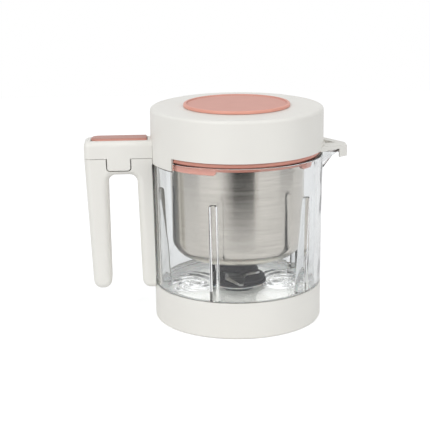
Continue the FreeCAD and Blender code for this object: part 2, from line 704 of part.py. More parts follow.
# The blade carrier: a flanged sleeve through the floor, drawn down by a nut, with two bushes and a lip seal.
carrier = new_body("blade_carrier")
flange_low = d.floor_high + d.seal_thick
lathe(carrier, [
    (d.bush_r, d.stem_low), (d.stem_r, d.stem_low), (d.stem_r, flange_low), (d.carrier_r, flange_low),
    (d.carrier_r, d.carrier_top), (d.lip_seal_r, d.carrier_top), (d.lip_seal_r, d.lip_seal_low),
    (d.bush_r, d.lip_seal_low)])
round_edges(carrier, d.seal_thick, rim_at(d.carrier_r, d.carrier_top))
ring("carrier_gasket", d.stem_r + d.seat_gap, d.carrier_r - d.seat_gap, d.floor_high, flange_low)
ring("upper_bush", d.shaft_r + d.run_gap, d.bush_r - d.press_gap, d.bush_split + d.bush_gap, d.lip_seal_low)
ring("lower_bush", d.shaft_r + d.run_gap, d.bush_r - d.press_gap, d.stem_low, d.bush_split)
shaft_seal = new_body("shaft_seal")
seal_in_r = d.shaft_r + d.run_gap
seal_out_r = d.lip_seal_r - d.press_gap
seal_top = d.carrier_top - 0.4
lathe(shaft_seal, [
    (seal_in_r + 1.2, d.lip_seal_low), (seal_out_r, d.lip_seal_low), (seal_out_r, seal_top),
    (seal_in_r + 2.4, seal_top), (seal_in_r + 2.4, seal_top - 1.6), (seal_in_r + 0.8, seal_top - 0.4),
    (seal_in_r, seal_top - 1), (seal_in_r + 1.2, seal_top - 2.6)])
nut_blank = doc.addObject("Part::Prism", "carrier_nut_blank")
nut_blank.Polygon = 6
bind(nut_blank, {
    "Circumradius": d.nut_r, "Height": d.web_low - d.stem_low, "Placement.Base.z": d.stem_low})
nut_hole = cylinder("carrier_nut_hole", d.stem_r + d.press_gap, d.stem_low - 1, d.web_low + 1)
nodes.append(cut("carrier_nut", nut_blank, nut_hole))

# The rotor: stepped shaft, skirt, two swept blades clamped under a screwed cap, and the drive coupling.
shaft = new_body("blade_shaft")
lathe(shaft, [
    (0, d.shaft_low), (d.shaft_end_r, d.shaft_low), (d.shaft_end_r, d.coupling_top),
    (d.shaft_r, d.coupling_top), (d.shaft_r, d.blade_low), (d.shaft_end_r, d.blade_low),
    (d.shaft_end_r, d.shaft_top), (0, d.shaft_top)])
hub_fit_r = d.shaft_r + d.press_gap
end_fit_r = d.shaft_end_r + d.press_gap
hub_skirt = new_body("hub_skirt")
lathe(hub_skirt, [
    (hub_fit_r, d.skirt_hub_low + 0.6), (d.lip_seal_r + 2, d.skirt_hub_low + 0.6),
    (d.lip_seal_r + 2, d.skirt_hub_low), (d.skirt_hub_r, d.skirt_hub_low),
    (d.skirt_hub_r, d.skirt_hub_low + 2), (d.hub_r + 2, d.blade_low), (hub_fit_r, d.blade_low)])
round_edges(hub_skirt, d.seal_thick, rim_at(d.skirt_hub_r, d.skirt_hub_low + 2))


def blade(label, low, turn, stations):
    """A disc with two swept arms; each station is distance, leading edge, trailing edge and rise."""
    body = new_body(label)
    bind(body, {"Placement.Rotation.Angle": as_size(turn)})
    flat = sketch(body, "XY_Plane", low)
    circle(flat, (0, 0), d.blade_disc_r)
    circle(flat, (0, 0), end_fit_r)
    feature(body, "Pad", {"Profile": flat, "Length": d.blade_thick})
    sections = []
    for distance, lead, trail, rise in stations:
        section = sketch(body, "XZ_Plane", distance)
        under = low + rise
        over = under + d.blade_thick
        loop(section, [(lead, under), (trail, under), (trail, over), (lead * 0.8 + trail * 0.2, over)])
        sections.append(section)
    around(body, loft(body, sections), 2)


blade("lower_blade", d.blade_low, 0, [
    (d.blade_r * 0.18, -d.blade_disc_r * 0.85, d.blade_disc_r * 0.7, 0),
    (d.blade_r * 0.6, -d.blade_disc_r * 0.95, d.blade_disc_r * 0.3, 0),
    (d.blade_r, -d.blade_disc_r * 0.1, d.blade_disc_r * 0.15, -d.blade_drop)])
blade("upper_blade", d.blade_low + d.blade_thick, d.blade_turn, [
    (d.blade_r * 0.18, -d.blade_disc_r * 0.7, d.blade_disc_r * 0.6, 0),
    (d.blade_r * 0.5, -d.blade_disc_r * 0.75, d.blade_disc_r * 0.2, 0),
    (d.blade_r * 0.86, -d.blade_disc_r * 0.15, d.blade_disc_r * 0.1, d.blade_rise)])
hub_low = d.blade_low + d.blade_thick * 2
hub_cap = new_body("hub_cap")
lathe(hub_cap, [
    (end_fit_r, hub_low), (d.hub_r + 1.6, hub_low), (d.hub_r, hub_low + 2), (d.hub_r, d.hub_top),
    (0, d.hub_top), (0, d.shaft_top + d.seat_gap), (end_fit_r, d.shaft_top + d.seat_gap)])
round_edges(hub_cap, d.base_edge / 3, rim_at(d.hub_r, d.hub_top))
washer_low = d.coupling_top + d.press_gap
ring("thrust_washer", d.shaft_r + d.run_gap, d.bush_r + 2, washer_low, d.stem_low - d.run_gap)
coupling = new_body("drive_coupling")
socket_top = d.coupling_low + d.socket_deep
lathe(coupling, [
    (d.socket_r, d.coupling_low), (d.coupling_r, d.coupling_low), (d.coupling_r, d.coupling_top),
    (end_fit_r, d.coupling_top), (end_fit_r, socket_top), (d.socket_r, socket_top)])
round_edges(coupling, d.seal_thick, rim_at(d.coupling_r, d.coupling_low))
slot = box_points(d.socket_r - 2, d.coupling_r - 2.6, -d.drive_slot / 2, d.drive_slot / 2)
slot_cut = upright(coupling, slot, d.coupling_low - 1, d.socket_deep, "Pocket")
around(coupling, slot_cut, d.drive_slot_count)

# The basket: a drawn steel cup with a turned rim and a perforated floor, held in a plastic ring.
basket = new_body("steel_basket")
sheet_top = d.basket_rim_z + d.sheet_thick
floor_top = d.basket_low + d.sheet_thick
lathe(basket, [
    (0, d.basket_low), (d.basket_low_r, d.basket_low), (d.basket_top_r, d.basket_rim_z),
    (d.basket_rim_r, d.basket_rim_z), (d.basket_rim_r, sheet_top), (d.basket_top_r - d.sheet_thick, sheet_top),
    (d.basket_low_r - d.sheet_thick, floor_top), (0, floor_top)])
round_edges(basket, d.basket_round, rim_at(d.basket_low_r, d.basket_low))
round_edges(basket, d.basket_round - d.sheet_thick, rim_at(d.basket_low_r - d.sheet_thick, floor_top))
drill(basket, [(0, 0)], d.hole_r, floor_top, d.sheet_thick + 1)
for step in (1, 2, 3):
    first_hole = drill(basket, [(d.hole_pitch * step, 0)], d.hole_r, floor_top, d.sheet_thick + 1)
    around(basket, first_hole, 6 * step)
basket_ring = new_body("basket_ring")
groove_r = d.basket_rim_r + d.seat_gap
lathe(basket_ring, [
    (d.ring_in_r, d.ring_low), (d.ring_skirt_r, d.ring_low), (d.ring_skirt_r, d.rim_z + d.seat_gap),
    (d.ring_flange_r, d.rim_z + d.seat_gap), (d.ring_flange_r, d.ring_top), (d.ring_in_r, d.ring_top),
    (d.ring_in_r, sheet_top + d.press_gap), (groove_r, sheet_top + d.press_gap),
    (groove_r, d.basket_rim_z - d.press_gap), (d.ring_in_r, d.basket_rim_z - d.press_gap)])
round_edges(basket_ring, d.seal_thick, either(
    rim_at(d.ring_flange_r, d.rim_z + d.seat_gap), rim_at(d.ring_flange_r, d.ring_top)))
tab_in_r = d.ring_skirt_r - d.tab_thick


def tab_points(side):
    return [
        (side * tab_in_r, d.ring_deep), (side * d.ring_skirt_r, d.ring_deep),
        (side * d.ring_skirt_r, d.ring_low + 1), (side * tab_in_r, d.ring_low + 1)]


def tab_corner(edge):
    ends = [vertex.Point for vertex in edge.Vertexes]
    flat = len(ends) == 2 and near(ends[0].z, d.ring_deep) and near(ends[1].z, d.ring_deep)
    return flat and isinstance(edge.Curve, Part.Line)


lathe(basket_ring, tab_points(-1), "Revolution", d.tab_angle)
for side in (-1, 1):
    flat = sketch(basket_ring, "XZ_Plane")
    turn = d.side_tab_turn * side
    flat.AttachmentOffset = FreeCAD.Placement(
        FreeCAD.Vector(), FreeCAD.Rotation(FreeCAD.Vector(0, 1, 0), turn.value))
    flat.setExpression("AttachmentOffset.Rotation.Angle", turn.formula)
    loop(flat, tab_points(1))
    feature(basket_ring, "Revolution", {
        "Profile": flat, "ReferenceAxis": (flat, ["V_Axis"]), "Angle": d.side_tab_angle, "Midplane": True})
round_edges(basket_ring, d.tab_round, tab_corner)

# The lid's shell: turned cap, skirt behind the handle, spout plate with a lip, hollow arm and two tongues.
lid = new_body("lid_shell")
lid_in_r = d.lid_r - d.lid_wall
lid_roof = d.lid_top - d.lid_wall
mid_r = d.lid_r - d.lid_wall / 2
lathe(lid, [
    (lid_in_r, d.lid_low), (d.lid_r, d.lid_low), (d.lid_r, d.lid_top), (d.cap_hole_r, d.lid_top),
    (d.cap_hole_r, lid_roof), (lid_in_r, lid_roof)])
round_edges(lid, d.lid_round, rim_at(d.lid_r, d.lid_top))
lathe(lid, [
    (-lid_in_r, d.skirt_low), (-d.lid_r, d.skirt_low), (-d.lid_r, d.lid_low + 1), (-lid_in_r, d.lid_low + 1)],
    "Revolution", d.skirt_angle)
spread = [d.plate_spread * (k / 3) for k in (3, 2, 1, 0, -1, -2, -3)]
plate_x, plate_y = polar(d.lid_r - 0.2, d.plate_spread)
plate_side = (plate_y - d.plate_half) / (d.plate_tip - plate_x)
plate_edge = [
    (plate_x, -plate_y), (d.plate_tip, -d.plate_half), (d.plate_tip, d.plate_half), (plate_x, plate_y)]
upright(lid, plate_edge + [polar(mid_r, angle) for angle in spread], d.plate_low, d.plate_thick)


def plate_end(length, tip, half):
    """The outline of the plate's last stretch, between its slanting sides."""
    wide = half + length * plate_side
    return [(tip - length, -wide), (tip, -half), (tip, half), (tip - length, wide)]


lip_rise = d.plate_low - d.plate_lip_low
lip_out = plate_end(d.plate_lip_long, d.plate_tip, d.plate_half)
lip_in = plate_end(
    d.plate_lip_long - d.plate_lip_wall, d.plate_tip - d.plate_lip_wall, d.plate_half - d.plate_lip_wall)
upright(lid, lip_out + lip_in[::-1], d.plate_lip_low, lip_rise + d.plate_tip_thick / 2)
plate_high = d.plate_low + d.plate_thick
slope_start = d.lid_r + d.seat_gap
sideways(lid, [
    (slope_start, plate_high), (d.plate_tip + 1, d.plate_low + d.plate_tip_thick),
    (d.plate_tip + 1, plate_high + 1), (slope_start, plate_high + 1)], plate_y * 2, "Pocket")
steam_hole = [
    (d.lid_r + 1, -d.steam_half), (d.lid_r + 1 + d.steam_reach, 0), (d.lid_r + 1, d.steam_half)]
upright(lid, steam_hole, d.plate_low - 1, d.plate_thick + 2, "Pocket")


def plate_corner(edge):
    box = edge.BoundBox
    return near(box.XMin, d.plate_tip) and near(box.XMax, d.plate_tip) and box.ZLength > 1


round_edges(lid, d.plate_lip_wall, plate_corner)
arm_box = box_points(-d.arm_end, -mid_r, -d.arm_half, d.arm_half)
upright(lid, arm_box, d.arm_low, d.arm_top - d.arm_low)
for side in (-1, 1):
    face = side * d.arm_half
    back = side * (d.arm_half - d.tongue_thick)
    tongue = box_points(-d.tongue_far, -d.tongue_near, back, face)
    upright(lid, tongue, d.tongue_low, d.arm_low - d.tongue_low + 1)
round_edges(lid, d.arm_round, either(
    edge_at(x=-d.arm_end, y=-d.arm_half), edge_at(x=-d.arm_end, y=d.arm_half)))


def arm_rim(edge):
    return edge_at(z=d.arm_top)(edge) and edge.BoundBox.XMin < -d.lid_r.value - 1


round_edges(lid, d.arm_edge, arm_rim)
round_edges(lid, d.tongue_round, either(
    edge_at(x=-d.tongue_far, z=d.tongue_low), edge_at(x=-d.tongue_near, z=d.tongue_low)))
cavity_half = d.arm_half - d.arm_skin
arm_roof = d.arm_top - d.arm_skin
cavity = box_points(d.arm_skin - d.arm_end, -d.arm_root, -cavity_half, cavity_half)
upright(lid, cavity, d.arm_low - 1, arm_roof - d.arm_low + 1, "Pocket")
button_room = box_points(
    -d.button_far - d.button_gap, d.button_gap - d.button_near,
    -d.button_half - d.button_gap, d.button_half + d.button_gap)
upright(lid, button_room, arm_roof - 1, d.arm_skin + 2, "Pocket")
liner_top = d.liner_low + d.liner_thick
boss = sketch(lid, "XY_Plane", liner_top)
screw_places = [polar(d.screw_circle, 45 + 90 * k) for k in range(4)]
screw_hole_r = d.screw_r + d.press_gap
for at in screw_places:
    circle(boss, at, d.boss_r)
    circle(boss, at, screw_hole_r)
feature(lid, "Pad", {"Profile": boss, "Length": lid_roof - liner_top + d.lid_wall / 2})

# Inside the lid: the liner with its filler neck, the seal that lies on the basket ring, and the screws.
liner = new_body("lid_liner")
neck_r = d.cap_hole_r + d.neck_wall
liner_r = lid_in_r - d.seat_gap
lathe(liner, [
    (d.cap_hole_r, d.liner_low), (d.plug_r - d.liner_thick, d.liner_low), (d.plug_r - d.liner_thick, d.plug_low),
    (d.plug_r, d.plug_low), (d.plug_r, d.liner_low), (liner_r, d.liner_low), (liner_r, liner_top),
    (neck_r, liner_top), (neck_r, lid_roof), (d.cap_hole_r, lid_roof)])
drill(liner, screw_places, screw_hole_r, liner_top, d.liner_thick + 1)
ring("lid_seal", d.lid_seal_in_r, liner_r - d.seat_gap, d.ring_top + d.seat_gap, d.liner_low)
screw_low = d.liner_low - d.screw_head
fasteners("liner_screws", screw_places, screw_low, d.liner_low, d.liner_low - 0.5, d.liner_low + d.boss_r * 3)

# The filler cap: a soft disc on a hollow plug with a round seal in its groove.
disc = new_body("cap_disc")
disc_in_r = d.disc_r - d.disc_rim
lathe(disc, [
    (0, d.disc_low), (d.disc_r, d.disc_low), (d.disc_r, d.disc_top), (disc_in_r, d.disc_top),
    (disc_in_r - d.disc_dish / 3, d.disc_top - d.disc_dish), (0, d.disc_top - d.disc_dish)])
round_edges(disc, d.disc_edge, rim_at(d.disc_r, d.disc_top))
plug = new_body("cap_plug")
plug_r = d.cap_hole_r - d.cap_gap
groove_in_r = plug_r - d.cap_seal_half * 1.8
groove_half = d.cap_seal_half * 1.2
lathe(plug, [
    (0, d.cap_low), (plug_r, d.cap_low), (plug_r, d.cap_seal_z - groove_half),
    (groove_in_r, d.cap_seal_z - groove_half), (groove_in_r, d.cap_seal_z + groove_half),
    (plug_r, d.cap_seal_z + groove_half), (plug_r, d.disc_low), (plug_r - d.cap_wall * 1.8, d.disc_low),
    (plug_r - d.cap_wall * 1.8, d.cap_low + d.cap_wall), (0, d.cap_low + d.cap_wall)])
round_edges(plug, d.seal_thick, rim_at(plug_r, d.cap_low))
cap_seal_low = d.cap_seal_z - d.cap_seal_half
ring("cap_seal", groove_in_r + d.run_gap, plug_r + d.cap_gap / 4, cap_seal_low, cap_seal_low + d.cap_seal_half * 2)

# The latch: pad and plunger of the button, the arm's cover, the spring clip with its rivets, two springs.
button = new_body("latch_button")
pad = box_points(-d.button_far, -d.button_near, -d.button_half, d.button_half)
upright(button, pad, d.button_low, d.button_top - d.button_low)
round_edges(button, d.button_round, either(*(
    edge_at(x=-d.button_far, y=side * d.button_half) for side in (-1, 1))))
round_edges(button, d.button_edge, edge_at(z=d.button_top))
plunger = new_body("button_plunger")
plunger_top = arm_roof - d.seat_gap
flange = box_points(
    d.arm_skin + d.button_gap - d.arm_end, -d.arm_root - d.button_gap,
    d.button_gap - cavity_half, cavity_half - d.button_gap)
upright(plunger, flange, d.plunger_low, plunger_top - d.plunger_low)
riser = box_points(
    -d.button_far + d.button_round, -d.button_near - d.button_gap,
    d.button_gap - d.button_half, d.button_half - d.button_gap)
upright(plunger, riser, plunger_top - d.seat_gap, d.button_low - plunger_top + d.seat_gap)
cover_top = d.cover_low + d.cover_thick
clip_top = cover_top + d.clip_thick
clip_far = d.clip_leg + d.clip_thick
pusher = box_points(-d.clip_leg + 0.6, -d.clip_leg + 2.6, -d.clip_half, d.clip_half)
pusher_low = clip_top + 2.6
upright(plunger, pusher, pusher_low, d.plunger_low - pusher_low + d.seat_gap)
cover = new_body("arm_cover")
cover_points = box_points(
    d.arm_skin + d.seat_gap - d.arm_end, -d.arm_root - d.seat_gap,
    d.seat_gap - cavity_half, cavity_half - d.seat_gap)
upright(cover, cover_points, d.cover_low, d.cover_thick)
for side in (-1, 1):
    relief = box_points(
        -d.tongue_far - d.seat_gap, d.seat_gap - d.tongue_near,
        side * (d.arm_half - d.tongue_thick - d.seat_gap), side * d.arm_half)
    upright(cover, relief, d.cover_low - 1, d.cover_thick + 2, "Pocket")
clip_window = box_points(
    -clip_far - d.nose_reach - 1, 1 - d.clip_leg, -d.clip_half - d.button_gap, d.clip_half + d.button_gap)
upright(cover, clip_window, d.cover_low - 1, d.cover_thick + 2, "Pocket")
rivet_at = [(-d.rivet_x, -d.rivet_y), (-d.rivet_x, d.rivet_y)]
drill(cover, rivet_at, screw_hole_r, cover_top, d.cover_thick + 1)
clip = new_body("latch_clip")
sideways(clip, [
    (-d.clip_near, cover_top), (-d.clip_near, clip_top), (-clip_far, clip_top), (-clip_far, d.nose_top),
    (-clip_far - d.nose_reach, d.nose_top), (-clip_far - d.nose_reach, d.nose_top - d.clip_thick),
    (-clip_far, d.clip_low), (-d.clip_leg, d.clip_low), (-d.clip_leg, cover_top)], d.clip_half * 2)
drill(clip, rivet_at, screw_hole_r, clip_top, d.clip_thick + 1)
fasteners("clip_rivets", rivet_at, clip_top, clip_top + d.screw_head, d.cover_low, clip_top + 0.5)
springs = doc.addObject("Part::Compound", "latch_springs")
springs.Links = [
    sleeve(f"latch_spring_{k}", d.spring_r - d.wire_r, d.spring_r + d.wire_r, cover_top, d.plunger_low, (-x, 0))
    for k, x in enumerate((d.spring_far, d.spring_near))]
nodes.append(springs)

# The handle: an inverted U, hollowed to the glass, notched for the tongues and pocketed for the latch.
handle = new_body("handle_shell")
handle_root = d.glass_low_r - 6
sideways(handle, [
    (-d.arm_end, d.handle_top), (-d.leg_far_low, d.handle_low), (-d.gap_far_low, d.handle_low),
    (-d.gap_far_top, d.gap_top), (-d.gap_near_top, d.gap_top), (-d.gap_near_low, d.handle_low),
    (-handle_root, d.handle_low), (-handle_root, d.handle_top)], d.arm_half * 2)
round_edges(handle, d.gap_round, either(
    edge_at(x=-d.gap_far_top, z=d.gap_top), edge_at(x=-d.gap_near_top, z=d.gap_top)))
round_edges(handle, d.leg_round, either(
    edge_at(x=-d.leg_far_low, z=d.handle_low), edge_at(x=-d.gap_far_low, z=d.handle_low),
    edge_at(x=-d.gap_near_low, z=d.handle_low)))


def handle_outline(edge):
    box = edge.BoundBox
    side = near(box.YMin, box.YMax) and near(abs(box.YMin), d.arm_half)
    return side and box.ZMin < d.handle_top.value - 1 and box.XMin < -handle_root.value - 1


round_edges(handle, d.handle_edge, handle_outline)
skirt_room_r = d.lid_r + d.seat_gap
skirt_room_z = d.skirt_low - d.tongue_gap
lathe(handle, [
    (0, d.handle_low - 1), (glass_r(d.handle_low - 1) + d.pad_thick, d.handle_low - 1),
    (glass_r(skirt_room_z) + d.pad_thick, skirt_room_z), (skirt_room_r, skirt_room_z),
    (skirt_room_r, d.handle_top + 1), (0, d.handle_top + 1)], "Groove")
notch_low = d.tongue_low - d.tongue_gap
for side in (-1, 1):
    notch = box_points(
        -d.tongue_far - d.tongue_gap, d.tongue_gap - d.tongue_near,
        side * (d.arm_half - d.tongue_thick - d.tongue_gap), side * (d.arm_half + 1))
    upright(handle, notch, notch_low, d.handle_top - notch_low + 1, "Pocket")
round_edges(handle, d.tongue_round + d.tongue_gap, either(
    edge_at(x=-d.tongue_far - d.tongue_gap, z=notch_low), edge_at(x=d.tongue_gap - d.tongue_near, z=notch_low)))
plate_seat = box_points(
    -d.catch_far - d.seat_gap, d.seat_gap - d.catch_near,
    -d.catch_half - d.seat_gap, d.catch_half + d.seat_gap)
upright(handle, plate_seat, d.catch_low, d.handle_top - d.catch_low + 1, "Pocket")
clip_room = box_points(
    -clip_far - d.nose_reach - 1.4, 3.6 - d.clip_leg, -d.clip_half - 1, d.clip_half + 1)
upright(handle, clip_room, d.pocket_low, d.handle_top - d.pocket_low, "Pocket")
catch_screw_at = [(-d.catch_far + 2.6, 0), (-d.catch_near - 2.6, 0)]
catch_top = d.catch_low + d.catch_thick
drill(handle, catch_screw_at, screw_hole_r, d.catch_low, d.boss_r + 1)

# The steel catch under the latch's nose, its screws, and the pad that bonds the handle to the glass.
catch = new_body("catch_plate")
catch_points = box_points(-d.catch_far, -d.catch_near, -d.catch_half, d.catch_half)
upright(catch, catch_points, d.catch_low, d.catch_thick)
catch_window = box_points(
    -clip_far - d.nose_reach + 1, -clip_far - d.nose_reach + 1 + d.catch_window,
    -d.clip_half - d.button_gap, d.clip_half + d.button_gap)
upright(catch, catch_window, d.catch_low - 1, d.catch_thick + 2, "Pocket")
drill(catch, catch_screw_at, screw_hole_r, catch_top, d.catch_thick + 1)
fasteners("catch_screws", catch_screw_at, catch_top, catch_top + 0.4, d.catch_low - d.boss_r, catch_top + 0.2)
outer_cone = doc.addObject("Part::Cone", "handle_pad_outside")
inner_cone = doc.addObject("Part::Cone", "handle_pad_inside")
for cone, offset in ((outer_cone, d.pad_thick - d.run_gap * 2), (inner_cone, d.run_gap * 2)):
    bind(cone, {
        "Radius1": glass_r(d.pad_low) + offset, "Radius2": glass_r(d.pad_high) + offset,
        "Height": d.pad_high - d.pad_low, "Placement.Base.z": d.pad_low})
pad_box = doc.addObject("Part::Box", "handle_pad_width")
bind(pad_box, {
    "Length": d.glass_top_r, "Width": d.pad_half * 2, "Height": d.pad_high - d.pad_low,
    "Placement.Base.x": -d.glass_top_r - d.pad_thick, "Placement.Base.y": -d.pad_half,
    "Placement.Base.z": d.pad_low})
pad = doc.addObject("Part::Common", "handle_pad")
pad.Base = cut("handle_pad_shell", outer_cone, inner_cone)
pad.Tool = pad_box
nodes.append(pad)

doc.recompute()
os.makedirs("parts", exist_ok=True)
for item in doc.Objects:
    if "Invalid" in item.State or "Error" in item.State:
        raise ValueError(f"{item.Label} is {item.State}")
for node in nodes:
    shape = node.Shape
    if shape.isNull() or not shape.isValid():
        raise ValueError(f"{node.Label} has no valid shape")
    if node.TypeId == "PartDesign::Body" and len(shape.Solids) != 1:
        raise ValueError(f"{node.Label} has come apart")
    shape.exportStep(f"parts/{node.Label}.step")
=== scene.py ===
import math

import bmesh
import bpy
from mathutils import Matrix, Vector, noise


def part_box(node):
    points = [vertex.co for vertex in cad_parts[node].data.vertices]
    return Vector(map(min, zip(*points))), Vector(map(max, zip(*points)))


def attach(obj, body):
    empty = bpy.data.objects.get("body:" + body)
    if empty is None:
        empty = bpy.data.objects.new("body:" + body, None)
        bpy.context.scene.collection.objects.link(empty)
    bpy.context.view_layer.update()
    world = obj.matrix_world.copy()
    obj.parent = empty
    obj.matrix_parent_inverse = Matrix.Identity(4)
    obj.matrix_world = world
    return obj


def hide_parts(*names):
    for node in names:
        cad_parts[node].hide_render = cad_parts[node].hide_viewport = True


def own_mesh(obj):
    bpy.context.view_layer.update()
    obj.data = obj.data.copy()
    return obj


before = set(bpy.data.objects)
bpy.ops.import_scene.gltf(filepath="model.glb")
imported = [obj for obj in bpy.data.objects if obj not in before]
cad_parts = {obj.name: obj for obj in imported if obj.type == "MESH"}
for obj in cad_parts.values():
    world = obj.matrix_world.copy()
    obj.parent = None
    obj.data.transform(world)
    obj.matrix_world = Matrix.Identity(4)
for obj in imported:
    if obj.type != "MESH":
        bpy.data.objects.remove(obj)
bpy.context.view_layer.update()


# The bowl: clear pressed glass with a thick floor, a foot, leaning ribs and a pouring spout.
# It is moulded in one piece, so its faces waver a little and are fire-polished smooth.
# Two swirls of bent grooves are pressed into its floor beside the blade.
class Shade:
    """A socket of a finish's shader nodes; arithmetic on it adds the Math nodes that it needs."""

    def __init__(self, tree, socket=None):
        self.tree = tree
        self.socket = socket

    def node(self, kind, settings, inputs, output=0):
        """Adds a node and returns one output; sockets go by name, or by number where a name repeats."""
        item = self.tree.nodes.new("ShaderNode" + kind)
        for name, value in settings.items():
            setattr(item, name, value)
        for name, value in inputs.items():
            if isinstance(value, Shade):
                self.tree.links.new(value.socket, item.inputs[name])
            else:
                item.inputs[name].default_value = value
        return Shade(self.tree, item.outputs[output] if item.outputs else None)

    def math(self, operation, left, right):
        return self.node("Math", {"operation": operation}, {0: left, 1: right})

    def __add__(self, other):
        return self.math("ADD", self, other)

    __radd__ = __add__

    def __sub__(self, other):
        return self.math("SUBTRACT", self, other)

    def __rsub__(self, other):
        return self.math("SUBTRACT", other, self)

    def __mul__(self, other):
        return self.math("MULTIPLY", self, other)

    __rmul__ = __mul__

    def noise(self, place, scale, detail):
        return self.node("TexNoise", {}, {"Vector": place, "Scale": scale, "Detail": detail})

    def stretched(self, place, scale):
        """The same coordinates drawn out along the axes with a small scale."""
        return self.node("Mapping", {}, {"Vector": place, "Scale": scale})

    def along(self, place, axis):
        """One of the coordinates: X, Y or Z."""
        return self.node("SeparateXYZ", {}, {"Vector": place}, axis)

    def ramp(self, value, start, end):
        """A share that is 0 up to a start value, 1 past an end value and even between them."""
        return self.node("MapRange", {}, {"Value": value, "From Min": start, "From Max": end})

    def tint(self, share, low, high):
        """A colour between two colours or tints, by a share from 0 to 1."""
        low_end, high_end = (end if isinstance(end, Shade) else (*end, 1) for end in (low, high))
        return self.node("Mix", {"data_type": "RGBA"}, {0: share, 6: low_end, 7: high_end}, 2)

    def bump(self, height, depth, edge=None):
        """A normal from a relief, with its depth in metres, over edges that are softened to a radius."""
        inputs = {"Height": height, "Distance": depth, "Strength": 1.0}
        if edge:
            inputs["Normal"] = self.node("Bevel", {"samples": 4}, {"Radius": edge})
        return self.node("Bump", {}, inputs)

    def principled(self, **inputs):
        """A Principled surface; the names of its inputs have _ for spaces."""
        named = {name.replace("_", " "): value for name, value in inputs.items()}
        return self.node("BsdfPrincipled", {}, named)


def start_finish(name):
    """A new material, its shader nodes and its Object coordinates."""
    material = bpy.data.materials.new(name)
    material.use_nodes = True
    material.node_tree.nodes.clear()
    shade = Shade(material.node_tree)
    return material, shade, shade.node("TexCoord", {}, {}, "Object")


def dress(material, shade, surface, *names):
    """Ends a material in its surface and gives it to CAD nodes."""
    shade.node("OutputMaterial", {}, {"Surface": surface})
    for name in names:
        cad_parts[name].material_slots[0].material = material


GLASS_TINT = (0.945, 0.953, 0.955, 1)
LAMP_TINT = (0.93, 0.94, 0.94, 1)
WAVER_DEEP = 0.00025
STREAK_DEEP = 0.00008
pressed_glass, shade, place = start_finish("pressed_glass")
waver = shade.noise(place, scale=38.0, detail=1.0)
streaks = shade.noise(shade.stretched(place, scale=(90.0, 90.0, 5.0)), scale=1.0, detail=1.0)
glass_body = shade.principled(
    Base_Color=GLASS_TINT, Roughness=0.0, IOR=1.5, Transmission_Weight=1.0,
    Normal=shade.bump(waver * WAVER_DEEP + streaks * STREAK_DEEP, depth=1.0))
lamp_path = shade.node("LightPath", {}, {}, "Is Shadow Ray")
lamp_way = shade.node("BsdfTransparent", {}, {"Color": LAMP_TINT})
clear_to_lamps = shade.node("MixShader", {}, {0: lamp_path, 1: glass_body, 2: lamp_way})
dress(pressed_glass, shade, clear_to_lamps)

# The carrier's gasket lies on the floor. The grooves fade out towards the hub and the wall.
FLOOR_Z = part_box("carrier_gasket")[0].z
FLOOR_R = 0.0585
HUB_R = 0.021
EDGE_FADE = 0.003
SWIRL_OUT = 0.038
SWIRL_R = 0.03
SWIRL_DEEP = 0.0011
SWIRL_PITCH = 0.0085
SWIRL_ARMS = 4
SWIRL_BEND = 7.0  # radians
SWIRL_WANDER = 40.0  # bends to the metre
GRID = 0.001
SAME_SPOT = 1e-6
CUT_CLEAR = 1e-7


def clamped(value):
    """A share held between 0 and 1."""
    return min(max(value, 0.0), 1.0)


def groove(spot):
    """How far the pressed floor is sunk at a spot, in metres."""
    from_swirl = Vector((abs(spot.x) - SWIRL_OUT, spot.y, 0))
    from_hub = math.hypot(spot.x, spot.y)
    fade = clamped((SWIRL_R - from_swirl.length) / (SWIRL_R / 2))
    fade *= clamped((FLOOR_R - from_hub) / EDGE_FADE) * clamped((from_hub - HUB_R) / EDGE_FADE)
    turn = SWIRL_ARMS * math.atan2(from_swirl.y, from_swirl.x)
    bend = SWIRL_BEND * noise.noise(from_swirl * SWIRL_WANDER)
    phase = 2 * math.pi * from_swirl.length / SWIRL_PITCH + turn + bend
    return SWIRL_DEEP * fade * (0.5 + 0.5 * math.cos(phase))


def add_object(name, mesh, form):
    """A new object in the scene, whose mesh takes over a worked form."""
    form.to_mesh(mesh)
    form.free()
    item = bpy.data.objects.new(name, mesh)
    bpy.context.scene.collection.objects.link(item)
    return item


# A copy of the solid's mesh is merged, and the flat of its floor is cut into a grid and sunk.
# The solid's own normals go along as an attribute; the floor's are left at zero and made anew.
bowl_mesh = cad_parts["glass_bowl"].data.copy()
bowl_mesh.materials[0] = pressed_glass
corner_normals = [0.0] * (3 * len(bowl_mesh.loops))
bowl_mesh.corner_normals.foreach_get("vector", corner_normals)
bowl_mesh.attributes.new("cad_normal", "FLOAT_VECTOR", "CORNER").data.foreach_set("vector", corner_normals)
bowl_form = bmesh.new()
bowl_form.from_mesh(bowl_mesh)
bmesh.ops.remove_doubles(bowl_form, verts=bowl_form.verts, dist=SAME_SPOT)
floor = [
    face for face in bowl_form.faces if all(abs(vert.co.z - FLOOR_Z) < SAME_SPOT for vert in face.verts)]
cad_normal = bowl_form.loops.layers.float_vector["cad_normal"]
for face in floor:
    face.smooth = True
    for corner in face.loops:
        corner[cad_normal] = Vector()
floor_parts = list(dict.fromkeys(part for face in floor for part in (face, *face.edges, *face.verts)))
for way, reach in ((Vector((1, 0, 0)), FLOOR_R), (Vector((0, 1, 0)), SWIRL_R)):
    for step in range(-int(reach / GRID), int(reach / GRID) + 1):
        floor_parts = bmesh.ops.bisect_plane(
            bowl_form, geom=floor_parts, dist=CUT_CLEAR, plane_co=way * step * GRID, plane_no=way)["geom"]
for part in dict.fromkeys(floor_parts):
    if isinstance(part, bmesh.types.BMVert):
        part.co.z -= groove(part.co)
swirled_bowl = add_object("swirled_bowl", bowl_mesh, bowl_form)
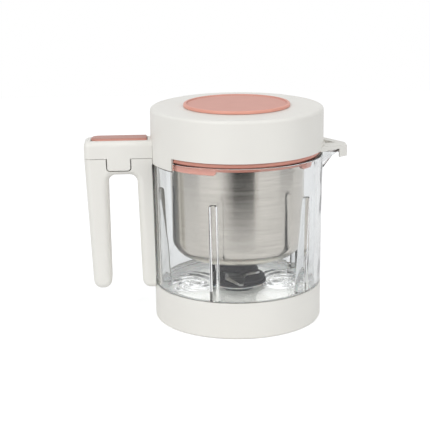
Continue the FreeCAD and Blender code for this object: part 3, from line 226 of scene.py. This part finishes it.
bowl_mesh.normals_split_custom_set([item.vector for item in bowl_mesh.attributes["cad_normal"].data])
bowl_mesh.attributes.remove(bowl_mesh.attributes["cad_normal"])
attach(swirled_bowl, "jug")
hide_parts("glass_bowl")

# The collar under the glass: warm white plastic, injection moulded, with a fine spark-eroded texture.
# The same plastic is used for the lid, the arm and the handle, so they share this finish.
WHITE_LOW = (0.805, 0.785, 0.735)
WHITE_HIGH = (0.85, 0.835, 0.79)
MOULDED_EDGE = 0.0005
white_plastic, shade, place = start_finish("white_plastic")
cloud = shade.noise(place, scale=22.0, detail=3.0)
grain = shade.noise(place, scale=2600.0, detail=2.0)
handling = shade.noise(place, scale=60.0, detail=4.0)
white_surface = shade.principled(
    Base_Color=shade.tint(cloud, WHITE_LOW, WHITE_HIGH), Roughness=0.36 + handling * 0.14,
    Normal=shade.bump(grain, depth=0.00002, edge=MOULDED_EDGE))
dress(
    white_plastic, shade, white_surface, "base_collar", "handle_shell", "lid_shell", "lid_liner",
    "arm_cover", "cap_plug", "button_plunger")

# The soft seals and the bond pad: cut or moulded from grey translucent silicone with a dusty skin.
# They lie between the hard pieces, and only their edges show.
SILICONE_LOW = (0.62, 0.62, 0.60)
SILICONE_HIGH = (0.74, 0.74, 0.72)
silicone, shade, place = start_finish("silicone")
dust = shade.noise(place, scale=400.0, detail=4.0)
silicone_surface = shade.principled(
    Base_Color=shade.tint(dust, SILICONE_LOW, SILICONE_HIGH), Roughness=0.55 + dust * 0.2,
    Normal=shade.bump(dust, depth=0.00004), Subsurface_Weight=0.2, Subsurface_Scale=0.002)
dress(
    silicone, shade, silicone_surface, "base_gasket", "carrier_gasket", "shaft_seal", "handle_pad",
    "lid_seal", "cap_seal")

# The blade carrier, its nut, the hub and the coupling: black glass-filled nylon, moulded.
# The fibres leave a dry, slightly cloudy skin with a coarse grain.
NYLON_LOW = (0.008, 0.008, 0.012)
NYLON_HIGH = (0.02, 0.02, 0.027)
black_nylon, shade, place = start_finish("black_nylon")
fibres = shade.noise(shade.stretched(place, scale=(1.0, 3.0, 1.0)), scale=900.0, detail=4.0)
nylon_surface = shade.principled(
    Base_Color=shade.tint(fibres, NYLON_LOW, NYLON_HIGH), Roughness=0.48 + fibres * 0.2,
    Specular_IOR_Level=0.22, Normal=shade.bump(fibres, depth=0.00005, edge=MOULDED_EDGE))
dress(
    black_nylon, shade, nylon_surface, "blade_carrier", "carrier_nut", "hub_skirt", "hub_cap",
    "drive_coupling")

# The two bushes and the thrust washer: sintered bronze, pressed from powder and soaked in oil.
# Open pores show as dark specks on the faces.
BRONZE_LOW = (0.30, 0.19, 0.08)
BRONZE_HIGH = (0.62, 0.44, 0.22)
sintered_bronze, shade, place = start_finish("sintered_bronze")
pores = shade.node("TexVoronoi", {"feature": "DISTANCE_TO_EDGE"}, {"Vector": place, "Scale": 1800.0})
bronze_surface = shade.principled(
    Base_Color=shade.tint(pores, BRONZE_LOW, BRONZE_HIGH), Roughness=0.5 - pores * 0.15, Metallic=1.0,
    Normal=shade.bump(pores, depth=0.00003))
dress(sintered_bronze, shade, bronze_surface, "upper_bush", "lower_bush", "thrust_washer")

# The blades, the shaft and the small steel pieces: stainless steel, stamped or turned, then ground.
# The grinding leaves fine straight scratches across the faces.
GROUND_LOW = (0.60, 0.60, 0.59)
GROUND_HIGH = (0.74, 0.74, 0.73)
GROUND_EDGE = 0.0002
ground_steel, shade, place = start_finish("ground_steel")
scratches = shade.noise(shade.stretched(place, scale=(60.0, 1600.0, 1600.0)), scale=1.0, detail=3.0)
steel_surface = shade.principled(
    Base_Color=shade.tint(scratches, GROUND_LOW, GROUND_HIGH), Roughness=0.2 + scratches * 0.18, Metallic=1.0,
    Normal=shade.bump(scratches, depth=0.00001, edge=GROUND_EDGE))
dress(
    ground_steel, shade, steel_surface, "blade_shaft", "lower_blade", "upper_blade", "catch_plate",
    "catch_screws", "liner_screws", "latch_clip", "clip_rivets")

# The steamer basket: thin stainless sheet, deep drawn and then brushed while it turned on a mandrel.
# The brushing leaves level lines round the wall, which draw every reflection out upwards and downwards.
BRUSHED_LOW = (0.545, 0.505, 0.452)
BRUSHED_HIGH = (0.745, 0.705, 0.65)
brushed_steel, shade, place = start_finish("brushed_steel")
lines = shade.noise(shade.stretched(place, scale=(14.0, 14.0, 5200.0)), scale=1.0, detail=3.0)
strokes = shade.noise(shade.stretched(place, scale=(26.0, 26.0, 1050.0)), scale=1.0, detail=3.0)
bands = shade.noise(shade.stretched(place, scale=(6.0, 6.0, 160.0)), scale=1.0, detail=2.0)
brushed = lines * 0.3 + shade.ramp(strokes, start=0.32, end=0.68) * 0.4 + bands * 0.3
basket_surface = shade.principled(
    Base_Color=shade.tint(brushed, BRUSHED_LOW, BRUSHED_HIGH), Roughness=0.15 + brushed * 0.1, Metallic=1.0,
    Anisotropic=0.6, Anisotropic_Rotation=0.25, Normal=shade.bump(lines, depth=0.000004))
dress(brushed_steel, shade, basket_surface, "steel_basket")

# The ring round the basket: salmon pink plastic, moulded over the turned rim of the steel.
# It is a little glossier than the white plastic and has no texture that shows.
PINK_LOW = (0.75, 0.325, 0.25)
PINK_HIGH = (0.82, 0.375, 0.295)
pink_plastic, shade, place = start_finish("pink_plastic")
cloud = shade.noise(place, scale=45.0, detail=3.0)
grain = shade.noise(place, scale=1800.0, detail=2.0)
pink_surface = shade.principled(
    Base_Color=shade.tint(cloud, PINK_LOW, PINK_HIGH), Roughness=0.3 + cloud * 0.12,
    Normal=shade.bump(grain, depth=0.000015, edge=MOULDED_EDGE))
dress(pink_plastic, shade, pink_surface, "basket_ring")

# The cap's disc: a soft salmon skin moulded onto the white plug.
# It feels like suede, so it is matt and slightly mottled; its rim is smoother, and its brighter colour there
# is a painted highlight.
SKIN_EDGE = 0.0004
DISC_LOW, DISC_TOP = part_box("cap_disc")
DISC_R = (DISC_TOP.x - DISC_LOW.x) / 2
RIM_WIDE = 0.0024
MATT_LOW = (0.66, 0.325, 0.265)
MATT_HIGH = (0.72, 0.365, 0.30)
RIM_HIGHLIGHT_LOW = (0.755, 0.345, 0.265)
RIM_HIGHLIGHT_HIGH = (0.815, 0.385, 0.30)


def soft_skin(shade, nap, colour, roughness):
    """A suede-like surface: a fine nap with a little sheen, over softened edges."""
    return shade.principled(
        Base_Color=colour, Roughness=roughness, Normal=shade.bump(nap, depth=0.00003, edge=SKIN_EDGE),
        Sheen_Weight=0.12, Sheen_Roughness=0.5)


soft_pink, shade, place = start_finish("soft_pink")
nap = shade.noise(place, scale=3200.0, detail=3.0)
mottle = shade.noise(place, scale=70.0, detail=4.0)
level_place = shade.node("VectorMath", {"operation": "MULTIPLY"}, {0: place, 1: (1, 1, 0)}, "Vector")
from_axis = shade.node("VectorMath", {"operation": "LENGTH"}, {0: level_place}, "Value")
on_rim = shade.ramp(from_axis, start=DISC_R - RIM_WIDE, end=DISC_R - RIM_WIDE / 2)
matt_colour = shade.tint(mottle, MATT_LOW, MATT_HIGH)
# The rim's colour is a painted highlight, lighter than the rest of the skin.
painted_rim_highlight = shade.tint(mottle, RIM_HIGHLIGHT_LOW, RIM_HIGHLIGHT_HIGH)
disc_surface = soft_skin(
    shade, nap, shade.tint(on_rim, matt_colour, painted_rim_highlight), 0.6 + nap * 0.15 - on_rim * 0.15)
dress(soft_pink, shade, disc_surface, "cap_disc")

# The latch button: the same soft skin, moulded over a white plunger.
# Its top is painted darker as painted shade and its sides lighter as painted light; the whole skin is
# smoother than the disc's.
BUTTON_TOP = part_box("latch_button")[1].z
SHADED_TOP_DEEP = 0.0004
LIT_SIDE_DEEP = 0.0012
SHADED_TOP_LOW = (0.43, 0.195, 0.155)
SHADED_TOP_HIGH = (0.52, 0.245, 0.20)
LIT_SIDE_LOW = (0.70, 0.32, 0.255)
LIT_SIDE_HIGH = (0.76, 0.36, 0.29)
pink_painted_shade, shade, place = start_finish("pink_painted_shade")
nap = shade.noise(place, scale=3200.0, detail=3.0)
button_mottle = shade.noise(place, scale=55.0, detail=4.0)
lit_side_share = shade.ramp(shade.along(place, "Z"), start=BUTTON_TOP - SHADED_TOP_DEEP, end=BUTTON_TOP - LIT_SIDE_DEEP)
# The top's colour is painted shade and the sides' colour is painted light.
painted_shade_top = shade.tint(button_mottle, SHADED_TOP_LOW, SHADED_TOP_HIGH)
painted_light_side = shade.tint(button_mottle, LIT_SIDE_LOW, LIT_SIDE_HIGH)
button_surface = soft_skin(shade, nap, shade.tint(lit_side_share, painted_shade_top, painted_light_side), 0.42 + nap * 0.15)
dress(pink_painted_shade, shade, button_surface, "latch_button")

# The two springs under the latch button: stainless wire, wound as open coils.
# They stand on the arm's cover, under the button.
SPRING_LOW, SPRING_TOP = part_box("latch_springs")
SPRING_R = 0.0032
SPRING_TURNS = 5
STEPS_A_TURN = 24
WIRE_R = 0.00045
WIRE_SIDES = 10
spring_height = SPRING_TOP.z - SPRING_LOW.z
coil_rise = spring_height - 2 * WIRE_R
coil_steps = SPRING_TURNS * STEPS_A_TURN
coils = bmesh.new()
for spring_x in (SPRING_LOW.x + SPRING_R + WIRE_R, SPRING_TOP.x - SPRING_R - WIRE_R):
    wire_start = Matrix.Translation((spring_x + SPRING_R, 0, SPRING_LOW.z + WIRE_R))
    wire_start @= Matrix.Rotation(math.pi / 2, 4, "X")
    wire = bmesh.ops.create_circle(
        coils, cap_ends=True, segments=WIRE_SIDES, radius=WIRE_R, matrix=wire_start)
    wire_end = wire["verts"][0].link_faces[0]
    bmesh.ops.spin(
        coils, geom=[wire_end, *wire["verts"], *wire_end.edges], cent=(spring_x, 0, 0), axis=(0, 0, 1),
        angle=2 * math.pi * SPRING_TURNS, steps=coil_steps, dvec=(0, 0, coil_rise / coil_steps))
bmesh.ops.recalc_face_normals(coils, faces=coils.faces)
springs = add_object("coil_springs", bpy.data.meshes.new("coil_springs"), coils)
springs.data.materials.append(ground_steel)
springs.data.shade_smooth()
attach(springs, "lid")
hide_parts("latch_springs")
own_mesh(springs)

# The table: a white sheet that the jug stands on.
# It glows where the camera, the steel and the glass see it, so it is white there without lighting the jug.
TABLE_HALF = 1.1
TABLE_Z = -0.0002
TABLE_PAINT = (0.93, 0.93, 0.93, 1)
WHITE = (1, 1, 1, 1)


def add_stage(name, corners, material):
    """A flat piece of the studio from its corners."""
    flat = bmesh.new()
    flat.faces.new([flat.verts.new(corner) for corner in corners])
    item = add_object(name, bpy.data.meshes.new(name), flat)
    item.data.materials.append(material)
    return item


def shown_share(shade, straight, by_gloss):
    """One share for rays straight from the camera, one for those from metal and glass, 0 for the rest."""
    seen = shade.node("LightPath", {}, {}, "Is Camera Ray")
    mirrored = shade.node("LightPath", {}, {}, "Is Glossy Ray")
    through = shade.node("LightPath", {}, {}, "Is Transmission Ray")
    indirect = shade.math("MINIMUM", mirrored + through, 1.0)
    return seen * straight + indirect * by_gloss


table_white, shade, _ = start_finish("table_white")
paint = shade.node("BsdfDiffuse", {}, {"Color": TABLE_PAINT})
glow_share = shown_share(shade, straight=0.45, by_gloss=0.13)
glow = shade.node("Emission", {}, {"Color": WHITE, "Strength": glow_share})
dress(table_white, shade, shade.node("AddShader", {}, {0: paint, 1: glow}))
add_stage("table", [
    (-TABLE_HALF, -TABLE_HALF, TABLE_Z), (TABLE_HALF, -TABLE_HALF, TABLE_Z),
    (TABLE_HALF, TABLE_HALF, TABLE_Z), (-TABLE_HALF, TABLE_HALF, TABLE_Z)], table_white)

# The cards: dark boards outside the picture, which give the steel and the glass their dark lines.
# The two in front fade out near the jug and towards the handle, and only gloss and glass see any of them.
NEAR_Y = -0.31
FADE_Y = -0.44
FAR_Y = -1.09
NEAR_LEFT = -0.18
NEAR_RIGHT = 0.1355
FAR_LEFT = -0.58
FAR_RIGHT = 0.476
FRONT_Z = 0.001
BACK_HIGH = 0.9
SLANT_DARK = 0.12
SLANT_PALE = 0.50
CARD_X = 0.6
CARD_NEAR = -0.25
CARD_FAR = 0.1
CARD_HIGH = 0.6
CARD_DARK = (0.05, 0.06, 0.075, 1)
FRONT_DARK = (0.018, 0.02, 0.025)
FRONT_PALE = (0.9, 0.9, 0.9)
dark_card, shade, _ = start_finish("dark_card")
dress(dark_card, shade, shade.node("BsdfDiffuse", {}, {"Color": CARD_DARK}))
faded_card, shade, place = start_finish("faded_card")
card_y = shade.along(place, "Y")
slant = shade.math("DIVIDE", shade.along(place, "X"), card_y)
near_share = shade.ramp(card_y, start=FADE_Y, end=NEAR_Y)
side_share = shade.ramp(slant, start=SLANT_DARK, end=SLANT_PALE)
pale_share = 1 - (1 - near_share) * (1 - side_share)
card_tone = shade.tint(pale_share, FRONT_DARK, FRONT_PALE)
dress(faded_card, shade, shade.node("BsdfDiffuse", {}, {"Color": card_tone}))
cards = [
    add_stage("card_front", [
        (NEAR_LEFT, NEAR_Y, FRONT_Z), (NEAR_RIGHT, NEAR_Y, FRONT_Z),
        (FAR_RIGHT, FAR_Y, FRONT_Z), (FAR_LEFT, FAR_Y, FRONT_Z)], faded_card),
    add_stage("card_back", [
        (FAR_LEFT, FAR_Y, 0), (FAR_RIGHT, FAR_Y, 0),
        (FAR_RIGHT, FAR_Y, BACK_HIGH), (FAR_LEFT, FAR_Y, BACK_HIGH)], faded_card)]
for name, side_x in (("card_left", -CARD_X), ("card_right", CARD_X)):
    cards.append(add_stage(name, [
        (side_x, CARD_NEAR, 0), (side_x, CARD_FAR, 0),
        (side_x, CARD_FAR, CARD_HIGH), (side_x, CARD_NEAR, CARD_HIGH)], dark_card))
for card in cards:
    card.visible_camera = False
    card.visible_diffuse = False
    card.visible_shadow = False

# The room and its lamps: a white studio with three square soft boxes round the jug.
# A small lamp under the basket lights the bowl, the collar and its gasket only.
SOFT_LIGHT = (0.97, 0.985, 1, 1)
JUG_MIDDLE = (0, 0, 0.09)
JUG_FOOT = (0, 0, 0)
UNDER_BASKET = (0, 0, 0.0505)
scene = bpy.context.scene
scene.view_settings.view_transform = "Standard"
room = bpy.data.worlds.new("room")
room.use_nodes = True
room.node_tree.nodes.clear()
scene.world = room
shade = Shade(room.node_tree)
white_room = shade.node("Background", {}, {"Color": WHITE, "Strength": 1.0})
lamp_room = shade.node("Background", {}, {"Color": SOFT_LIGHT, "Strength": 0.52})
room_share = shown_share(shade, straight=1.0, by_gloss=1.0)
lit_room = shade.node("MixShader", {}, {0: room_share, 1: lamp_room, 2: white_room})
shade.node("OutputWorld", {}, {"Surface": lit_room})


def add_lamp(name, at, aim, size, power):
    """A square soft lamp that faces a point."""
    light = bpy.data.lights.new(name, "AREA")
    light.size = size
    light.energy = power
    lamp = bpy.data.objects.new(name, light)
    lamp.location = at
    lamp.rotation_euler = (Vector(aim) - Vector(at)).to_track_quat("-Z", "Y").to_euler()
    scene.collection.objects.link(lamp)
    return lamp


add_lamp("lamp_left", at=(-1.3, -1.5, 1.5), aim=JUG_MIDDLE, size=1.2, power=21)
add_lamp("lamp_right", at=(1.3, -1.5, 1.3), aim=JUG_MIDDLE, size=1.0, power=10)
add_lamp("lamp_top", at=(0.3, 0.0, 2.0), aim=JUG_MIDDLE, size=1.6, power=3.5)
bowl_lamp = add_lamp("lamp_bowl", at=UNDER_BASKET, aim=JUG_FOOT, size=0.1, power=0.011)
lit_from_inside = bpy.data.collections.new("lit_from_inside")
for item in (swirled_bowl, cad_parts["base_collar"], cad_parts["base_gasket"]):
    lit_from_inside.objects.link(item)
bowl_lamp.light_linking.receiver_collection = lit_from_inside
bowl_lamp.light_linking.blocker_collection = lit_from_inside

# The camera stands a metre away, a little above the lid, slightly towards the handle and not quite level.
# Its place and lens give the jug the size, tilt and foreshortening that it has in the picture.
CAMERA_FAR = 1.0
CAMERA_TILT = math.radians(14.66)
CAMERA_TURN = math.radians(-3.0)
CAMERA_ROLL = math.radians(0.6)
PICTURE_WIDE = 0.344
AXIS_OFFSET = 0.01786
AIM_HEIGHT = 0.0815
SENSOR = 36.0
SIGHT_FAR = 50
level = Vector((math.cos(CAMERA_TURN), math.sin(CAMERA_TURN), 0))
back = Vector((
    math.sin(CAMERA_TURN) * math.cos(CAMERA_TILT), -math.cos(CAMERA_TURN) * math.cos(CAMERA_TILT),
    math.sin(CAMERA_TILT)))
right = Matrix.Rotation(-CAMERA_ROLL, 3, back) @ level
aim = Vector((0, 0, AIM_HEIGHT)) - level * AXIS_OFFSET
lens = bpy.data.cameras.new("camera")
lens.sensor_width = SENSOR
lens.lens = SENSOR * CAMERA_FAR / PICTURE_WIDE
lens.clip_end = SIGHT_FAR
camera = bpy.data.objects.new("camera", lens)
turned = Matrix((right, back.cross(right), back)).transposed()
camera.matrix_world = Matrix.Translation(aim + back * CAMERA_FAR) @ turned.to_4x4()
scene.collection.objects.link(camera)
scene.camera = camera
